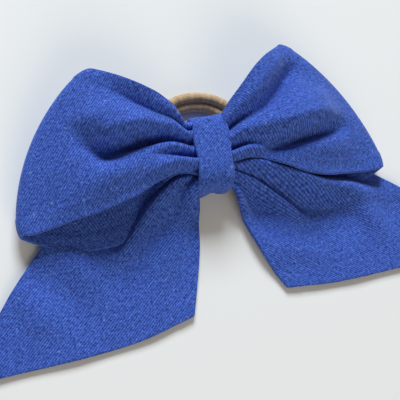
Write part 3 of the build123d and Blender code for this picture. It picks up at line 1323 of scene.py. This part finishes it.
def left_loop() -> BowLoop:
    """The left loop: a broad upper and a broad lower lobe, with a deep crease between them."""
    return BowLoop(
        side=Side.LEFT,
        fold_low=(70.8, -12.4),
        fold_high=(37.8, 37.6),
        fold_heights=(5.2, 16.0),
        fold_bulge=6.4,
        fold_radius=2.8,
        front=(
            Gather(0.00, -4.6, -1.2, 16),
            Gather(0.14, -2.6, 2.2, 22),
            Gather(0.30, -0.1, -3.6, 12),
            Gather(0.36, 2.2, 1.3, 12),
            Gather(0.43, 4.9, -4.6, 26),
            Gather(0.58, 7.6, 2.4, 26),
            Gather(0.84, 10.2, -3.0, 12),
            Gather(0.91, 11.3, 0.9, 10),
            Gather(1.00, 12.4, -0.8, 14),
        ),
        back=(
            Gather(0.00, -6.2, 1.4, 16),
            Gather(0.10, -4.6, -0.6, 16),
            Gather(0.24, -2.6, 0.6, 14),
            Gather(0.45, 1.5, -0.8, 16),
            Gather(0.70, 6.0, 0.8, 14),
            Gather(1.00, 11.0, -0.4, 14),
        ),
        low_edge=[(0, 0), (0.12, 1.2), (0.24, 0.2), (0.4, -1.8), (0.56, -2.2), (0.75, -1.2), (1, 0)],
        high_edge=[(0, 0), (0.06, 2.4), (0.25, 2.4), (0.5, 1.4), (0.8, 0.9), (1, 0)],
        back_edge=[
            (0, 0), (0.09, 3.4), (0.18, 2.2), (0.28, -2.2), (0.36, -8.4),
            (0.44, -11.2), (0.57, -11.2), (0.8, -8.0), (1, 0),
        ],
        belly=[(0, 0), (0.12, 3.6), (0.3, 6.6), (0.5, 7.2), (0.7, 5.4), (0.88, 2.2), (1, 0)],
        belly_low=[(0, 0), (0.12, 2.8), (0.3, 4.4), (0.5, 4.4), (0.7, 2.2), (0.88, 0.1), (1, 0)],
        swells=(
            Swell(27.0, 6.2, -10.0, 12.0, 2.8, -6.6),
            Swell(40.0, 8.8, 44.0, 9.0, 4.2, -5.2),
            Swell(31.0, 10.4, 4.0, 13.0, 3.2, 3.8),
            Swell(30.0, 16.0, 10.0, 15.0, 4.6, 2.2),
            Swell(24.0, 21.0, 44.0, 13.0, 4.2, -3.4),
            Swell(38.0, -3.6, -18.0, 18.0, 5.0, 2.4),
        ),
        seed=3,
    )


def right_loop() -> BowLoop:
    """The right loop: one large lobe over a long valley, and a crease below its rolled top edge."""
    return BowLoop(
        side=Side.RIGHT,
        fold_low=(69.4, -12.6),
        fold_high=(39.0, 37.0),
        fold_heights=(5.2, 16.0),
        fold_bulge=5.6,
        fold_radius=2.8,
        front=(
            Gather(0.00, -3.4, -1.6, 14),
            Gather(0.10, -1.9, 1.4, 9),
            Gather(0.19, -0.5, -3.6, 13),
            Gather(0.28, 0.4, -2.8, 34),
            Gather(0.44, 3.6, 2.6, 28),
            Gather(0.69, 7.0, -3.6, 18),
            Gather(0.84, 9.8, 1.6, 18),
            Gather(1.00, 12.3, -0.6, 14),
        ),
        back=(
            Gather(0.00, -4.0, -0.6, 14),
            Gather(0.25, -1.0, 0.8, 14),
            Gather(0.55, 4.0, -0.8, 16),
            Gather(0.80, 8.0, 0.8, 14),
            Gather(1.00, 11.0, -0.4, 14),
        ),
        low_edge=[(0, 0), (0.12, 1.2), (0.3, -1.6), (0.45, -4.0), (0.6, -4.0), (0.75, -2.4), (1, 0)],
        high_edge=[(0, 0), (0.06, 0.8), (0.25, 1.4), (0.6, 2.0), (1, 0)],
        back_edge=[(0, 0), (0.3, 0.4), (0.6, -1.4), (0.85, -3.4), (1, 0)],
        belly=[(0, 0), (0.12, 3.4), (0.3, 6.4), (0.5, 7.2), (0.7, 5.6), (0.88, 2.3), (1, 0)],
        belly_low=[(0, 0), (0.12, 2.8), (0.3, 3.5), (0.45, 2.6), (0.68, 0.2), (0.86, -1.2), (1, 0)],
        swells=(
            Swell(36.0, -0.4, 9.0, 18.0, 2.9, -6.0),
            Swell(32.0, 20.4, 42.0, 13.0, 3.4, -6.0),
            Swell(37.0, 4.6, 12.0, 18.0, 3.4, 3.2),
            Swell(40.0, 11.0, 16.0, 16.0, 4.6, 2.4),
            Swell(46.0, -6.5, -4.0, 14.0, 3.6, 1.0),
        ),
        seed=7,
    )


def left_tail() -> BowTail:
    """The left tail, which lies flat with two faint folds across it."""
    return BowTail(
        side=Side.LEFT,
        inner=((7.4, -10.2), (6.2, -22.0), (11.8, -34.0), (18.6, -51.4)),
        outer=((7.4, 8.0), (30.0, 9.0), (66.0, -12.0), (95.4, -56.6)),
        end_sag=[(0, 0), (0.22, -2.6), (0.5, -2.6), (0.8, -0.9), (1, 0)],
        gathers=(
            Gather(0.00, -10.4, -0.6, 14),
            Gather(0.22, -8.6, 1.4, 20),
            Gather(0.44, -6.4, -1.6, 16),
            Gather(0.62, -2.0, 0.6, 14),
            Gather(1.00, 8.0, -0.3, 14),
        ),
        knot_heights=[(0, 8.6), (0.22, 10.4), (0.44, 9.8), (0.7, 10.4), (1, 10.6)],
        leaving=[(0, 0.0), (0.3, 2.0), (0.5, 2.0), (0.7, 5.0), (1, 9.0)],
        landing=[(0, 12.0), (0.3, 16.0), (0.5, 14.0), (0.7, 18.0), (1, 24.0)],
        crests=(
            Crest(
                path=((8, -6.0), (14, -6.6), (20, -9.6), (26, -13.8), (31, -19.0), (38, -26.0)),
                heights=((8, 11.2), (14, 11.4), (20, 9.6), (26, 7.0), (31, 4.6), (38, 2.6), (46, 0.5)),
                low_width=7.5,
                high_width=2.8,
            ),
        ),
        swells=(
            Swell(61.5, -33.4, -120.0, 15.0, 4.0, -1.0),
            Swell(52.0, -27.5, -120.0, 15.0, 6.0, 2.3),
            Swell(70.5, -37.5, -120.0, 14.0, 5.5, 1.7),
            Swell(25.0, -32.0, -64.0, 18.0, 6.0, 1.6),
        ),
        seed=11,
    )


def right_tail() -> BowTail:
    """The right tail, whose upper gather stands against the loop and whose inner edge is lifted."""
    return BowTail(
        side=Side.RIGHT,
        inner=((7.2, -12.0), (8.6, -24.0), (11.0, -35.0), (17.8, -49.2)),
        outer=((7.2, 8.0), (34.0, 9.0), (69.0, -10.0), (101.0, -51.2)),
        end_sag=[(0, 0), (0.2, -1.7), (0.5, -1.5), (0.8, -0.6), (1, 0)],
        gathers=(
            Gather(0.00, -12.0, -0.2, 14),
            Gather(0.06, -11.3, 0.8, 18),
            Gather(0.15, -10.3, -2.2, 14),
            Gather(0.32, -7.8, 0.6, 16),
            Gather(0.42, -6.2, -3.0, 14),
            Gather(0.62, -4.4, 0.4, 20),
            Gather(0.80, -1.0, -0.8, 20),
            Gather(1.00, 8.0, -0.3, 14),
        ),
        knot_heights=[
            (0, 7.6), (0.15, 8.4), (0.32, 10.2), (0.42, 10.2), (0.62, 11.6), (0.8, 10.2), (1, 10.4),
        ],
        leaving=[(0, 0.0), (0.3, 1.0), (0.6, 3.0), (1, 10.0)],
        landing=[(0, 12.0), (0.3, 18.0), (0.6, 22.0), (0.8, 20.0), (1, 26.0)],
        crests=(
            Crest(
                path=(
                    (8, -5.4), (15, -6.0), (26.5, -10.8), (37, -15.6), (46, -17.6), (56, -20.0),
                    (66, -23.0),
                ),
                heights=(
                    (8, 12.8), (15, 14.6), (26.5, 14.2), (37, 12.0), (46, 8.4), (56, 5.0), (66, 2.6),
                    (80, 0),
                ),
                low_width=5.6,
                high_width=4.0,
            ),
            Crest(
                path=((8, -7.6), (12.6, -9.2), (19.4, -14.8), (26.0, -20.6), (31, -25)),
                heights=((8, 11.2), (12.6, 11.0), (19.4, 8.6), (26.0, 5.8), (31, 3.0), (38, 0.5)),
                low_width=4.6,
                high_width=2.6,
            ),
        ),
        lifted_edge=2.2,
        swells=(
            Swell(42.0, -27.0, -28.0, 16.0, 5.5, -1.4),
            Swell(58.0, -30.0, -64.0, 14.0, 5.0, 2.4),
            Swell(27.0, -38.0, -20.0, 12.0, 5.0, 1.6),
        ),
        seed=13,
    )


# ---- studio ----------------------------------------------------------------------------------


@dataclass
class Studio:
    """Pale table, soft window light from the top side, a warm reflector below, and the camera."""

    azimuth: float = -50.979
    elevation: float = 64.394
    roll: float = 37.175
    distance: float = 325.85
    aim: Point = (-0.424, -11.27)
    focal: float = 81.0

    def camera(self) -> None:
        """Camera looking down on the bow at a slant."""
        a, e, r = (math.radians(angle) for angle in (self.azimuth, self.elevation, self.roll))
        back = np.array([math.sin(a) * math.cos(e), -math.cos(a) * math.cos(e), math.sin(e)])
        right = np.cross([0, 0, 1.0], back)
        right /= np.linalg.norm(right)
        up = np.cross(back, right)
        turned_right = right * math.cos(r) + up * math.sin(r)
        turned_up = up * math.cos(r) - right * math.sin(r)
        place = back * self.distance + turned_right * self.aim[0] + turned_up * self.aim[1]
        data = bpy.data.cameras.new("camera")
        data.lens, data.sensor_width = self.focal, 36.0
        data.clip_start, data.clip_end = 0.01, 10.0
        camera = bpy.data.objects.new("camera", data)
        matrix = np.eye(4)
        matrix[:3] = np.column_stack([turned_right, turned_up, back, place * MM])
        camera.matrix_world = Matrix(matrix.tolist())
        bpy.context.scene.collection.objects.link(camera)
        bpy.context.scene.camera = camera

    def table(self) -> None:
        """Plain pale table top under the bow."""
        size = 3.0
        corners = [(-size, -size, 0), (size, -size, 0), (size, size, 0), (-size, size, 0)]
        mesh = bpy.data.meshes.new("table")
        mesh.from_pydata(corners, [], [(0, 1, 2, 3)])
        floor = bpy.data.objects.new("table", mesh)
        bpy.context.scene.collection.objects.link(floor)
        material, n = new_material("pale table")
        n.finish((0.83, 0.825, 0.81, 1), 0.6, {"Specular IOR Level": 0.25})
        dress(floor, material)

    def lamp(
        self,
        name: str,
        place: tuple[float, float, float],
        size: float,
        watts: float,
        colour: tuple[float, float, float],
    ) -> None:
        """Square soft light aimed at the bow.

        Args:
            name: Name of the light.
            place: Where it stands, in metres.
            size: Side of the square, in metres.
            watts: Power.
            colour: Colour of the light.
        """
        data = bpy.data.lights.new(name, "AREA")
        data.size, data.energy, data.color = size, watts, colour
        light = bpy.data.objects.new(name, data)
        light.location = place
        direction = -np.array(place) / np.linalg.norm(place)
        light.rotation_euler = Vector(direction).to_track_quat("-Z", "Y").to_euler()
        bpy.context.scene.collection.objects.link(light)

    def build(self) -> None:
        """Camera, table, lights and a pale surrounding."""
        self.camera()
        self.table()
        self.lamp("window", (0.25, 1.85, 1.42), 1.0, 69.0, (0.84, 0.92, 1.0))
        self.lamp("reflector", (-0.1, -1.7, 0.9), 1.2, 17.0, (1.0, 0.90, 0.70))
        world = bpy.data.worlds.new("soft room")
        world.use_nodes = True
        background = world.node_tree.nodes["Background"]
        background.inputs["Color"].default_value = (1.0, 0.99, 0.97, 1)
        background.inputs["Strength"].default_value = 0.15
        bpy.context.scene.world = world
        bpy.context.scene.view_settings.view_transform = "Standard"
        LOG.info("studio ready")


def dress_cad(thread: bpy.types.Material, rubber: bpy.types.Material) -> None:
    """Finish the knot's threads and the elastic's core, which come from the CAD model.

    Args:
        thread: Material of the threads.
        rubber: Material of the core.
    """
    for node in ("wrap_closing_stitches", "loop_joining_stitches", "gathering_thread"):
        dress(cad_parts[node], thread)
    dress(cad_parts["elastic_core"], rubber)


def main() -> None:
    """Build the studio and every piece of the bow, in order."""
    logging.basicConfig(level=logging.INFO, format="%(name)s %(message)s")
    Studio().build()
    weave = weave_group()
    cloth = LinenCanvas().build(weave)
    left_tail().build(cloth)
    right_tail().build(cloth)
    left_loop().build(cloth)
    right_loop().build(cloth)
    CentreWrap().build(cloth)
    HairElastic().build(KnittedElastic().build())
    dress_cad(SewingThread().build(), NaturalRubber().build())


if __name__ == "__main__":
    main()
